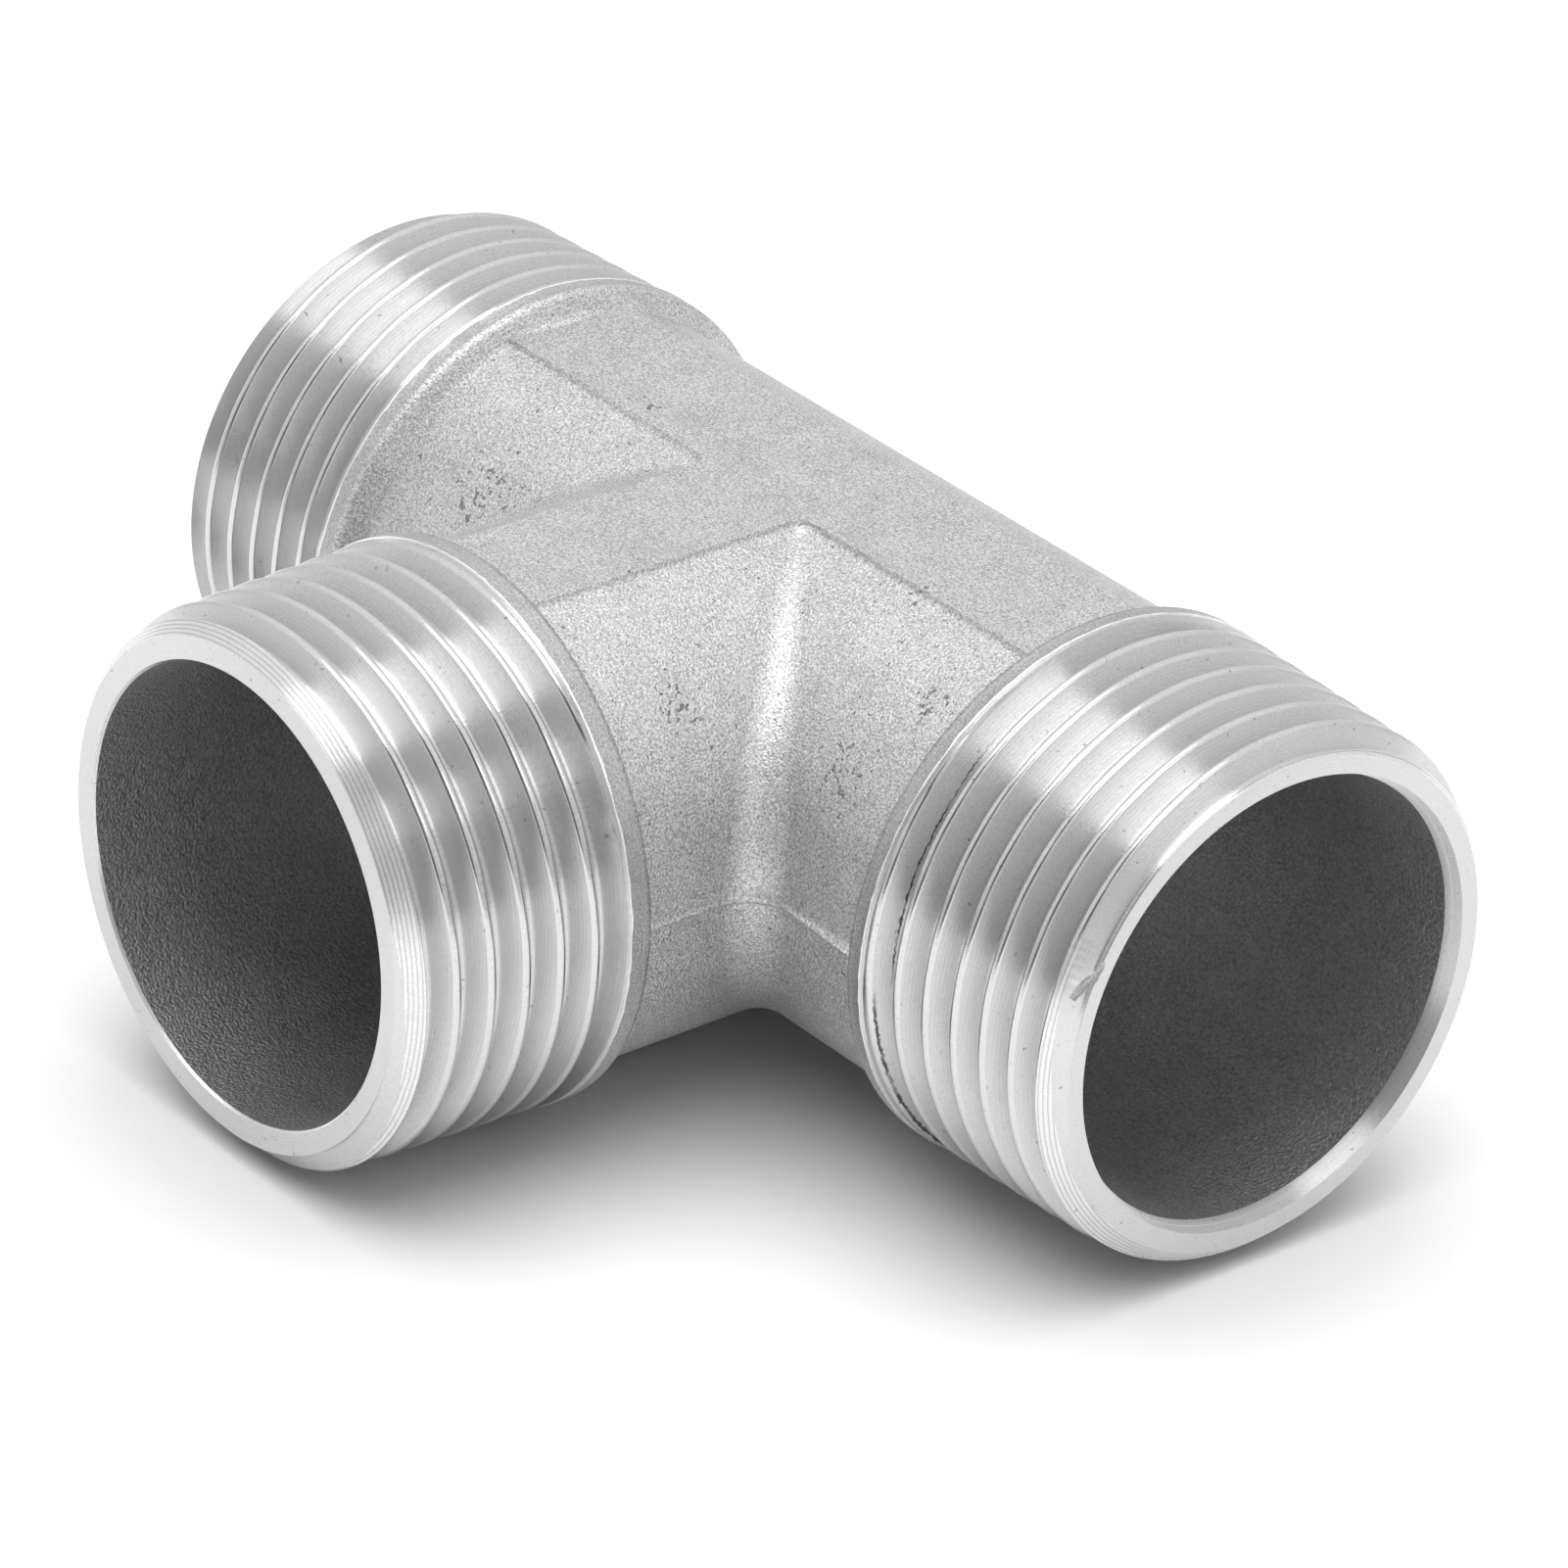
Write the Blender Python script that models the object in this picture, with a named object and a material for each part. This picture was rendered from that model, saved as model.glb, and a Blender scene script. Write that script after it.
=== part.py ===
"""Male threaded pipe tee: one stainless casting with three taper-threaded ends.

The run lies along X, the branch points along -Y, and the casting rests on its three collars.
The origin is at the middle of the footprint, on the surface that the collars stand on.
"""
import math

import bmesh
import bpy
from mathutils import Matrix, Vector

MM = 0.001

# Cast body, in millimetres
TUBE_RADIUS = 15.40        # outside of the plain tube between the collars
CROTCH_RADIUS = 2.60       # hollow fillet where the branch leaves the run
PAD_HEIGHT = 15.22         # flat wrench pad above and below the axes
PAD_HALF_WIDTH = 4.25      # half the width of each arm of the T-shaped pad
PAD_CORNER_RADIUS = 0.90   # inside corners of the T
PAD_SIDE_SLOPE = 0.50      # widening of the pad's sides per millimetre of depth
SEAM_PROUD = 0.18          # parting ridge round the middle of the body
SEAM_FLARE = 0.35          # extra width of the ridge at the right collar
SEAM_HEIGHT = 1.10         # depth of the sloping side above the ridge

# Arms, from the crossing of the axes
RIGHT_REACH = 41.15
LEFT_REACH = 38.95
BRANCH_REACH = 40.10
RIGHT_COLLAR = 24.57
LEFT_COLLAR = 23.50
BRANCH_COLLAR = 23.96
COLLAR_RADIUS = 16.67
COLLAR_WIDTH = 1.20        # cast ring left unturned
COLLAR_SLOPE = 0.67        # how far the inner face leans towards the body
COLLAR_EDGE = 0.18         # broken corner of the cast ring

# Taper thread, 1 inch nominal: 11 threads an inch, 55 degree flanks, 1 in 16 on the diameter
PITCH = 2.309
THREAD_DEPTH = 1.479
FLANK_ANGLE = 27.5         # degrees, each side
ROOT_FLAT = 0.42           # width of the groove's floor
TURNED_RADIUS = 16.62      # turned cone where it leaves the cast ring
TAPER = 1.0 / 32.0         # loss of radius per millimetre of length
END_FACE_RADIUS = 14.95    # outer edge of each end face, inside its chamfer
RUNOUT_START = 1.30        # from the collar to where the groove begins
RUNOUT_LENGTH = 0.80       # over which it reaches its full depth
RIGHT_PHASE = 351.0        # degrees at which a crest reaches the end face
LEFT_PHASE = 95.0
BRANCH_PHASE = 154.0

# Bores
BORE_RADIUS = 13.45
RUN_MOUTH_RADIUS = 13.78
RUN_MOUTH_DEPTH = 1.05
BRANCH_MOUTH_RADIUS = 13.60
BRANCH_MOUTH_DEPTH = 0.45

# Facets
HALF_STEPS = 24            # facets round half a turn
FILLET_STEPS = 4
CORNER_STEPS = 3

STEEL_COLOUR = (0.55, 0.55, 0.54, 1.0)


def clear_scene():
    """Empties the scene of its objects."""
    for item in list(bpy.data.objects):
        bpy.data.objects.remove(item, do_unlink=True)


def steel_material():
    """Blasted stainless steel."""
    material = bpy.data.materials.new("cast_stainless")
    material.use_nodes = True
    shader = material.node_tree.nodes["Principled BSDF"]
    shader.inputs["Base Color"].default_value = STEEL_COLOUR
    shader.inputs["Metallic"].default_value = 1.0
    shader.inputs["Roughness"].default_value = 0.45
    return material


def object_from(name, bm):
    """Closes a bmesh built in millimetres into an object in metres."""
    bmesh.ops.remove_doubles(bm, verts=bm.verts, dist=1e-5)
    rims = [edge for edge in bm.edges if edge.is_boundary]
    if rims:
        bmesh.ops.holes_fill(bm, edges=rims, sides=0)
    bmesh.ops.recalc_face_normals(bm, faces=bm.faces)
    bmesh.ops.scale(bm, vec=(MM, MM, MM), verts=bm.verts)
    mesh = bpy.data.meshes.new(name)
    bm.to_mesh(mesh)
    bm.free()
    item = bpy.data.objects.new(name, mesh)
    bpy.context.scene.collection.objects.link(item)
    return item


def add_strip(bm, first, second, closed=False):
    """Bridges two rows of points with quads."""
    rows = [[bm.verts.new(point) for point in row] for row in (first, second)]
    count = len(first)
    for k in range(count if closed else count - 1):
        n = (k + 1) % count
        bm.faces.new((rows[0][k], rows[0][n], rows[1][n], rows[1][k]))


def tee_tube(name, radius, blend, right, left, branch):
    """A tube along X with an equal one leaving it along -Y, and a hollow fillet where they meet.

    Each arm goes through its own list of (along, radius) rings.
    A ball of the blend radius that rolls in the crotch keeps its centre on both tubes'
    offset surfaces, so at each angle its centre lies at equal distances along X and -Y.
    """
    bm = bmesh.new()
    offset = radius + blend
    ribs = []
    for step in range(HALF_STEPS + 1):
        angle = -math.pi / 2 + math.pi * step / HALF_STEPS
        out = math.cos(angle) if 0 < step < HALF_STEPS else 0.0
        ribs.append((out, math.sin(angle)))
    for pair in zip(ribs, ribs[1:]):
        for side, rings in ((1, right), (-1, left)):
            front = []
            back = []
            arm = []
            arcs = []
            for out, up in pair:
                start = side * offset * out
                front.append([(start, -radius * out, radius * up)]
                             + [(side * along, -ring * out, ring * up) for along, ring in rings])
                back.append([(0.0, radius * out, radius * up)]
                            + [(side * along, ring * out, ring * up) for along, ring in rings])
                arm.append([(side * radius * out, -offset * out, radius * up)]
                           + [(side * ring * out, -along, ring * up) for along, ring in branch])
                arcs.append(fillet_arc(side, out, up, radius, blend))
            add_strip(bm, *front)
            add_strip(bm, *back)
            add_strip(bm, *arm)
            if blend > 0.0:
                add_strip(bm, *arcs)
    return object_from(name, bm)


def fillet_arc(side, out, up, radius, blend):
    """Points of the rolling ball's contact arc from the run to the branch at one height."""
    offset = radius + blend
    centre = Vector((side * offset * out, -offset * out, offset * up))
    start = Vector((0.0, out, -up))
    end = Vector((-side * out, 0.0, -up))
    spread = start.angle(end, 0.0) if out > 0.0 else 0.0
    points = []
    for step in range(FILLET_STEPS + 1):
        share = step / FILLET_STEPS
        if spread > 1e-6:
            ray = start * math.sin((1 - share) * spread) + end * math.sin(share * spread)
            ray /= math.sin(spread)
        else:
            ray = start
        points.append(centre + ray * blend)
    return points


def tee_outline(half, corner, right, left, branch, flare=0.0):
    """Plan of a T with arms of one width and rounded inside corners."""
    points = [(-left, half), (-left, -half)]
    for step in range(CORNER_STEPS + 1):
        angle = math.pi / 2 * (1 - step / CORNER_STEPS)
        points.append((-half - corner + corner * math.cos(angle), -half - corner + corner * math.sin(angle)))
    points += [(-half, -branch), (half, -branch)]
    for step in range(CORNER_STEPS + 1):
        angle = math.pi - math.pi / 2 * step / CORNER_STEPS
        points.append((half + corner + corner * math.cos(angle), -half - corner + corner * math.sin(angle)))
    points += [(right, -half - flare), (right, half)]
    return points


def outline_prism(name, low, low_z, high, high_z):
    """A solid between two outlines at two heights."""
    bm = bmesh.new()
    bottom = [(x, y, low_z) for x, y in low]
    top = [(x, y, high_z) for x, y in high]
    add_strip(bm, bottom, top, closed=True)
    return object_from(name, bm)


def pad(name, side, right, left, branch):
    """One flat T-shaped wrench pad, with sides that spread towards the tube."""
    foot = TUBE_RADIUS - 3.5
    crown = TUBE_RADIUS + 0.8
    outlines = []
    for height in (foot, crown):
        spread = (PAD_HEIGHT - height) * PAD_SIDE_SLOPE
        outlines.append(tee_outline(PAD_HALF_WIDTH + spread, PAD_CORNER_RADIUS + 1.2 - spread,
                                    right, left, branch))
    return outline_prism(name, outlines[0], side * foot, outlines[1], side * crown)


def turned(name, columns):
    """Joins one column of (along, radius) points for each angle round X into a closed solid."""
    bm = bmesh.new()
    rows = []
    for angle, column in columns:
        across = math.cos(angle)
        up = math.sin(angle)
        rows.append([(along, radius * across, radius * up) for along, radius in column])
    for first, second in zip(rows, rows[1:]):
        add_strip(bm, first, second)
    return object_from(name, bm)


def crest_radius(along, collar):
    """Radius of the turned cone that the thread is cut in."""
    return TURNED_RADIUS - (along - collar - COLLAR_WIDTH) * TAPER


def thread_column(turn, reach, collar, phase):
    """Corners of the right-hand groove along one side of the cone, at a share of a turn."""
    begin = collar + COLLAR_WIDTH
    past = reach + 1.5 * PITCH
    flank = math.tan(math.radians(FLANK_ANGLE))
    corners = []
    for pass_number in range(math.floor((begin - reach) / PITCH) - 2, 3):
        centre = reach + PITCH * (pass_number + turn - phase / 360.0 + 0.5)
        share = min(max((centre - collar - RUNOUT_START) / RUNOUT_LENGTH, 0.0), 1.0)
        depth = THREAD_DEPTH * share * share * (3 - 2 * share)
        floor = ROOT_FLAT / 2
        brim = floor + depth * flank
        if depth < 0.03:
            corners += [(begin, 0.0)] * 4
        elif centre + brim > past:
            corners += [(past, 0.0)] * 4
        else:
            corners += [(centre - brim, 0.0), (centre - floor, depth),
                        (centre + floor, depth), (centre + brim, 0.0)]
    return [(along, crest_radius(along, collar) - depth)
            for along, depth in [(begin, 0.0)] + corners + [(past, 0.0)]]


def threaded_spigot(name, reach, collar, phase):
    """Collar with its sloping inner face, then the taper thread running past the end."""
    lean = COLLAR_SLOPE / (COLLAR_RADIUS - TUBE_RADIUS)
    root = TUBE_RADIUS - 1.0
    shoulder = [
        (collar - lean * (COLLAR_RADIUS - COLLAR_EDGE - root), root),
        (collar, COLLAR_RADIUS - COLLAR_EDGE),
        (collar + COLLAR_EDGE, COLLAR_RADIUS),
        (collar + COLLAR_WIDTH - 0.05, COLLAR_RADIUS),
    ]
    steps = 2 * HALF_STEPS
    columns = []
    for step in range(steps + 1):
        turn = (step + 0.5) / steps
        columns.append((2 * math.pi * turn, shoulder + thread_column(turn, reach, collar, phase)))
    return turned(name, columns)


def turning_envelope(name, reach, collar):
    """What the lathe leaves of the end: a flat face inside a 45 degree chamfer."""
    clear = COLLAR_RADIUS + 2.0
    profile = [(collar - 5.0, clear), (reach - (clear - END_FACE_RADIUS), clear), (reach, END_FACE_RADIUS)]
    steps = 2 * HALF_STEPS
    return turned(name, [(2 * math.pi * step / steps, profile) for step in range(steps + 1)])


def bore_rings(reach, radius, depth):
    """One arm of the bore, opened by the turned recess in its mouth."""
    past = 2.0
    slope = (radius - BORE_RADIUS) / depth
    return [(reach - depth, BORE_RADIUS), (reach + past, radius + past * slope)]


def combine(target, tool, operation, turn=0.0):
    """Adds one exact Boolean to a solid and hides its tool, turned about Z to its arm."""
    tool.rotation_euler = (0.0, 0.0, turn)
    step = target.modifiers.new(tool.name, "BOOLEAN")
    step.operation = operation
    step.solver = "EXACT"
    step.object = tool
    tool.hide_render = True
    tool.display_type = "WIRE"


def bake(target):
    """Keeps the shape that the modifiers give, as one clean mesh."""
    graph = bpy.context.evaluated_depsgraph_get()
    mesh = bpy.data.meshes.new_from_object(target.evaluated_get(graph), depsgraph=graph)
    target.modifiers.clear()
    bm = bmesh.new()
    bm.from_mesh(mesh)
    bmesh.ops.dissolve_degenerate(bm, dist=1e-6, edges=bm.edges)
    bmesh.ops.remove_doubles(bm, verts=bm.verts, dist=1e-6)
    bmesh.ops.triangulate(bm, faces=bm.faces)
    bm.to_mesh(mesh)
    bm.free()
    target.data = mesh
    mesh.shade_smooth()
    mesh.set_sharp_from_angle(angle=math.radians(32))


def build():
    """Makes the tee."""
    clear_scene()
    arms = (
        ("right", RIGHT_REACH, RIGHT_COLLAR, RIGHT_PHASE, 0.0),
        ("left", LEFT_REACH, LEFT_COLLAR, LEFT_PHASE, math.pi),
        ("branch", BRANCH_REACH, BRANCH_COLLAR, BRANCH_PHASE, -math.pi / 2),
    )
    seats = [collar + COLLAR_WIDTH / 2 for _, _, collar, _, _ in arms]
    body = tee_tube("tee_body", TUBE_RADIUS, CROTCH_RADIUS,
                    *[[(seat, TUBE_RADIUS)] for seat in seats])

    for side, label in ((1, "top_pad"), (-1, "bottom_pad")):
        combine(body, pad(label, side, *[seat - 0.1 for seat in seats]), "UNION")
    sheet = [(-60.0, -60.0), (60.0, -60.0), (60.0, 60.0), (-60.0, 60.0)]
    combine(body, outline_prism("pad_slab", sheet, -PAD_HEIGHT, sheet, PAD_HEIGHT), "INTERSECT")

    ends = [seat - 0.2 for seat in seats]
    low = tee_outline(TUBE_RADIUS + SEAM_PROUD, CROTCH_RADIUS - SEAM_PROUD, *ends, flare=SEAM_FLARE)
    high = tee_outline(TUBE_RADIUS - 0.3, CROTCH_RADIUS + 0.3, *ends)
    combine(body, outline_prism("seam_ridge", low, -0.12, high, SEAM_HEIGHT), "UNION")

    for label, reach, collar, phase, turn in arms:
        spigot = threaded_spigot(label + "_spigot", reach, collar, phase)
        combine(spigot, turning_envelope(label + "_end", reach, collar), "INTERSECT", turn)
        combine(body, spigot, "UNION", turn)

    bore = tee_tube("bore", BORE_RADIUS, 0.0,
                    bore_rings(RIGHT_REACH, RUN_MOUTH_RADIUS, RUN_MOUTH_DEPTH),
                    bore_rings(LEFT_REACH, RUN_MOUTH_RADIUS, RUN_MOUTH_DEPTH),
                    bore_rings(BRANCH_REACH, BRANCH_MOUTH_RADIUS, BRANCH_MOUTH_DEPTH))
    combine(body, bore, "DIFFERENCE")

    bpy.context.view_layer.update()
    bake(body)
    for item in list(bpy.data.objects):
        if item is not body:
            bpy.data.objects.remove(item, do_unlink=True)

    flat = COLLAR_RADIUS * math.cos(math.pi / 2 / HALF_STEPS)
    shift = Vector(((LEFT_REACH - RIGHT_REACH) / 2, (BRANCH_REACH - flat) / 2, flat))
    body.data.transform(Matrix.Translation(shift * MM))
    body.data.materials.append(steel_material())


build()
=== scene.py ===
"""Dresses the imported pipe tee: a blasted stainless casting with turned taper threads on a pale floor."""
import math
import random
from collections import namedtuple

import bmesh
import bpy
from bpy.props import FloatProperty, FloatVectorProperty, IntProperty, PointerProperty
from mathutils import Matrix, Vector


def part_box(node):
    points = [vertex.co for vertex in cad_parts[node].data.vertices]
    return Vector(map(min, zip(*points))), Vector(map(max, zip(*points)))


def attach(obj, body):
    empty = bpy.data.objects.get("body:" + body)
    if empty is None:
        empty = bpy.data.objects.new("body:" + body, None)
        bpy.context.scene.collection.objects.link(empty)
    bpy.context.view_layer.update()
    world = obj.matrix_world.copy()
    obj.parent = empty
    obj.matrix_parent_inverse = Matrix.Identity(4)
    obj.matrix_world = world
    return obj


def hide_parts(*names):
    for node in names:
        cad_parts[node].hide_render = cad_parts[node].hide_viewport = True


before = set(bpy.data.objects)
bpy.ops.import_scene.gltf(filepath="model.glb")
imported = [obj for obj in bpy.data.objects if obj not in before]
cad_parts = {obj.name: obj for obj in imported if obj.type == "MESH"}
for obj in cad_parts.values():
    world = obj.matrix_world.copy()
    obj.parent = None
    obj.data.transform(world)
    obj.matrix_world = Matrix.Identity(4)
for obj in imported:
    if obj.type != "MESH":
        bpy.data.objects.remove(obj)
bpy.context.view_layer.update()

bl_info = {
    "name": "Male threaded tee",
    "version": (1, 0, 0),
    "blender": (4, 5, 0),
    "location": "3D View > Sidebar > Tee",
    "description": "Models a cast tee with turned taper threads and sets it on a studio floor",
    "category": "Add Mesh",
}

MM = 0.001

# Metal slots; a turned slot of the branch comes BRANCH places after the same one of the run
PARTS = ("thread", "crest", "chamfer", "face", "mouth")
SLOTS = ("tee_cast", "tee_ring", "tee_bore_and_painted_rim_shade", "tee_burr_highlight",
         *[f"tee_run_{part}" for part in PARTS], *[f"tee_branch_{part}" for part in PARTS])
CAST, RING, BORE_AND_PAINTED_RIM_SHADE, BURR_HIGHLIGHT, THREAD, CREST, CHAMFER, FACE, MOUTH = range(9)
BRANCH = len(PARTS)

# One arm: its sizes in millimetres, the crest's angle at the end, its turn about Z, how far the
# collar's corner is rounded, the seed of its ragged edge, and its first turned slot
Arm = namedtuple("Arm", "label reach collar ring phase turn edge seed slots")

# Turned ends, in millimetres
COLLAR_SLOPE = 0.67        # length of the cast slope behind a collar
SEAT_DEPTH = 0.6           # how far the plain tube runs on inside a collar
TAPER_LENGTH = 32.0        # length over which the turned cone loses one millimetre of radius
CONE_START = 1.2           # from the collar to where the cone is measured
RUNOUT_START = 1.30        # from the collar to where the groove begins
RUNOUT_LENGTH = 0.80       # over which the groove reaches its full depth
UNDERCUT = 0.09            # relief that the tool leaves beside the cast ring
UNDERCUT_END = 0.34        # from the ring's edge to the end of that relief
EDGE_WANDER = 0.03         # slow wander of the ring's edge round the arm
EDGE_TEAR = 0.05           # its torn teeth
EDGE_BREAK = 0.04          # between a chamfer and its end face
OVERRUN = 1.5              # turns of thread past the end, which the end face cuts off
ROUND_ANGLE = 62.5         # degrees that a rounded crest or root turns, up to a flank of 27.5
ROUND_POINTS = 3           # facets on each of them
SHARP_ANGLE = 28.0         # degrees between facets, over which an edge stays sharp
FILLET_STEPS = 10          # facets across the crotch

# Edge of a pad: rise over the pad's face, and spread of its outline
PAD_EDGE = ((0.05, -0.08), (-0.01, -0.03), (-0.05, 0.0), (-0.20, 0.05), (-0.31, 0.12), (-0.40, 0.22),
            (-0.48, 0.36), (-0.58, 0.56), (-0.67, 0.80), (-3.50, 1.70))

# Ridge of the parting line: height, rise over the tube, and flare towards the right collar
SEAM_LEVELS = ((-0.46, -0.10, 0.0), (-0.14, 0.21, 0.40), (0.0, 0.24, 0.46), (0.16, 0.13, 0.28),
               (0.32, 0.05, 0.13), (0.60, 0.0, 0.03), (1.30, -0.2, 0.0))

# Turned mouths: depth behind the end face, and widening of the bore
RUN_MOUTH = ((1.05, 0.0), (0.62, 0.16), (0.57, 0.24), (0.52, 0.165), (-2.0, 0.98))
BRANCH_MOUTH = ((0.16, 0.0), (-2.0, 1.6))

# Gouge across the right chamfer: its ends, from the crossing of the axes, and its radius
GOUGE_START = (41.32, -12.95, 6.95)
GOUGE_END = (40.62, -14.55, 4.85)
GOUGE_RADIUS = 0.36

# Clusters of dark pits in the cast skin: centre from the crossing of the axes and reach, in millimetres
PIT_CLUSTERS = (
    ((21.4, -9.0, 12.5), 2.7),
    ((19.4, -13.2, 7.9), 3.8),
    ((-15.2, -11.4, 10.2), 4.2),
    ((11.0, -18.2, 10.6), 2.8),
    ((14.6, -4.2, 15.2), 1.8),
    ((21.8, -2.8, 15.2), 1.5),
    ((-11.0, -3.0, 15.2), 1.6),
)

# Torn crests by the right collar: start and end angle past the top, distance along the run at each,
# and width, in millimetres
TEARS = (
    (37.0, 52.0, 26.70, 26.85, 0.02),
    (50.0, 90.0, 26.83, 27.02, 0.028),
    (95.0, 112.0, 26.58, 26.66, 0.04),
    (106.0, 140.0, 26.64, 26.80, 0.05),
)
TEAR_FADE = 3.0            # degrees over which a tear starts and ends
TEAR_WANDER = 0.06         # millimetres to each side

# Noise scales, in features to a metre
MOTTLE_SCALE = 350.0
PIT_SCALE = 2600.0
PIT_WARP_SCALE = 1900.0
RING_WANDER_SCALE = 900.0
CHATTER_SCALE = 9500.0
NICK_SCALE = 2300.0
TEAR_SCALE = 3000.0
TEAR_GAP_SCALE = 1100.0

# How dark a pit, a nick and a tear are, as shares of the metal round them; a tear's dark is painted shadow
PIT_SHADE = 0.42
NICK_SHADE = 0.55
TEAR_PAINTED_SHADOW = 0.16

CHATTER_DEPTH = 0.000004   # metres
COARSER_UNDERNEATH = 2.2   # grain below the parting line, against the grain above it

# Sockets of a colour Mix node
MIX_FIRST, MIX_SECOND, MIX_RESULT = 6, 7, 2

# The photograph's camera, in metres and degrees
CAMERA_LENS = 198.83
CAMERA_PLACE = (0.33246, -0.27386, 0.25311)
CAMERA_TARGET = (0.00015, 0.00978, 0.01261)
CAMERA_ROLL = 3.288

# The room: direction of its bright side, and degrees from +X to the dark board
BRIGHT_SIDE = (-0.76, 0.65, 0.0)
BOARD_TURN = -58.0


# Sizes and colours


def length(name, description, default):
    """A size of the casting in millimetres of model space."""
    return FloatProperty(name=name, description=description, default=default, precision=3)


def degrees(name, description, default):
    """An angle round an arm, in degrees."""
    return FloatProperty(name=name, description=description, default=default, precision=1)


def grey(name, description, level):
    """A neutral colour of one level."""
    return FloatVectorProperty(name=name, description=description, subtype="COLOR", size=3,
                               min=0.0, max=1.0, default=(level, level, level))


def portion(name, description, default):
    """A share from none to all."""
    return FloatProperty(name=name, description=description, subtype="FACTOR", min=0.0, max=1.0,
                         default=default)


def power(name, description, watts):
    """The power of a lamp."""
    return FloatProperty(name=name, description=description, subtype="POWER", unit="POWER", default=watts)


def brightness(name, description, level):
    """A brightness of the room."""
    return FloatProperty(name=name, description=description, default=level)


class TeeSizes(bpy.types.PropertyGroup):
    """Sizes of the casting, in millimetres from the crossing of its axes."""

    right_reach: length("Right reach", "Crossing of the axes to the right end face, in mm", 41.15)
    left_reach: length("Left reach", "Crossing of the axes to the left end face, in mm", 38.95)
    branch_reach: length("Branch reach", "Crossing of the axes to the branch end face, in mm", 40.10)
    right_collar: length("Right collar", "Crossing of the axes to the rim of the right collar, in mm", 24.57)
    left_collar: length("Left collar", "Crossing of the axes to the rim of the left collar, in mm", 23.50)
    branch_collar: length("Branch collar", "Crossing of the axes to the branch collar's rim, in mm", 23.96)
    right_phase: degrees("Right thread start", "Where a crest meets the right end, in degrees", 351.0)
    left_phase: degrees("Left thread start", "Where a crest meets the left end, in degrees", 95.0)
    branch_phase: degrees("Branch thread start", "Where a crest meets the branch end, in degrees", 154.0)
    tube_radius: length("Tube radius", "Outside of the plain tube between the collars, in mm", 15.40)
    crotch_radius: length("Crotch radius", "Hollow fillet where the branch leaves the run, in mm", 2.60)
    pad_height: length("Pad height", "Flat wrench pads above and below the axes, in mm", 15.22)
    pad_half_width: length("Pad half width", "Half the width of each arm of a pad, in mm", 4.25)
    pad_corner: length("Pad corner", "Inside corners of the pads, in mm", 1.10)
    collar_radius: length("Collar radius", "Outside of the cast rings, in mm", 16.62)
    right_ring: length("Right ring", "Width of the right cast ring left unturned, in mm", 1.08)
    left_ring: length("Left ring", "Width of the left cast ring left unturned, in mm", 1.36)
    branch_ring: length("Branch ring", "Width of the branch's cast ring left unturned, in mm", 1.35)
    turned_radius: length("Turned radius", "Turned cone where it leaves the cast ring, in mm", 16.58)
    end_face_radius: length("End face radius", "Outer edge of each end face, in mm", 14.95)
    pitch: length("Pitch", "Thread pitch, in mm", 2.309)
    thread_depth: length("Thread depth", "Crest to root of the rounded thread, in mm", 1.40)
    round_radius: length("Crest radius", "Rounding of crests and roots, in mm", 0.317)
    bore_radius: length("Bore radius", "Cast bore, in mm", 13.45)
    round_steps: IntProperty(name="Facets round", description="Facets round half a turn",
                             default=100, min=24, max=120)


class TeeFinish(bpy.types.PropertyGroup):
    """Colours and grain of the metal."""

    cast_colour: grey("Cast skin", "Blasted casting", 0.59)
    ring_colour: grey("Cast rings", "Rough rings behind the threads", 0.50)
    # Near white: a painted highlight on the torn lip at each ring's edge
    burr_highlight_colour: grey("Burrs", "Bright torn edges of the cast rings", 0.97)
    turned_colour: grey("Turned metal", "Bright threads and end faces", 0.67)
    turned_roughness: portion("Turned roughness", "Roughness of the turned metal", 0.27)
    # The bore colour also paints shade along the tight rims of the right and branch collars
    bore_and_painted_rim_shade_colour: grey("Cast bore", "Dark skin inside the bores", 0.43)
    grain: FloatProperty(name="Grain", description="Size of the blasted grain",
                         subtype="DISTANCE", unit="LENGTH", default=0.00013, precision=5)


class TeeStage(bpy.types.PropertyGroup):
    """Floor, lights and room."""

    floor_colour: grey("Floor", "Pale paper floor", 0.60)
    overhead_power: power("Overhead", "Power of the overhead softbox", 4.0)
    floor_power: power("Floor light", "Power of the soft light that no metal reflects", 16.2)
    card_power: power("Side card", "Power of the card that lights the right chamfer", 0.65)
    backdrop_level: brightness("Backdrop", "Brightness of the room behind the part", 0.80)
    room_level: brightness("Room", "Brightness of the room beside the camera", 0.68)
    ceiling_lift: brightness("Ceiling", "Extra brightness of the room overhead", 0.20)
    board_shade: portion("Dark board", "Darkness of the board that stands beside the camera", 0.82)


# Meshes


def object_from(name, bm):
    """Puts a finished bmesh in the scene as an object."""
    mesh = bpy.data.meshes.new(name)
    bm.to_mesh(mesh)
    bm.free()
    item = bpy.data.objects.new(name, mesh)
    bpy.context.scene.collection.objects.link(item)
    return item


def solid_from(name, bm, shade=CAST):
    """Closes a bmesh built in millimetres and gives it the metal slots."""
    bmesh.ops.remove_doubles(bm, verts=bm.verts, dist=1e-5)
    rims = [edge for edge in bm.edges if edge.is_boundary]
    if rims:
        caps = bmesh.ops.holes_fill(bm, edges=rims, sides=0)["faces"]
        for face in caps:
            face.material_index = shade
    bmesh.ops.recalc_face_normals(bm, faces=bm.faces)
    item = object_from(name, bm)
    for slot in SLOTS:
        item.data.materials.append(bpy.data.materials[slot])
    return item


def add_strip(bm, first, second, shades=None, closed=False):
    """Bridges two rows of points with quads, each of its own metal."""
    rows = [[bm.verts.new(point) for point in row] for row in (first, second)]
    count = len(first)
    for k in range(count if closed else count - 1):
        n = (k + 1) % count
        face = bm.faces.new((rows[0][k], rows[0][n], rows[1][n], rows[1][k]))
        face.material_index = shades[k] if shades else CAST


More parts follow.
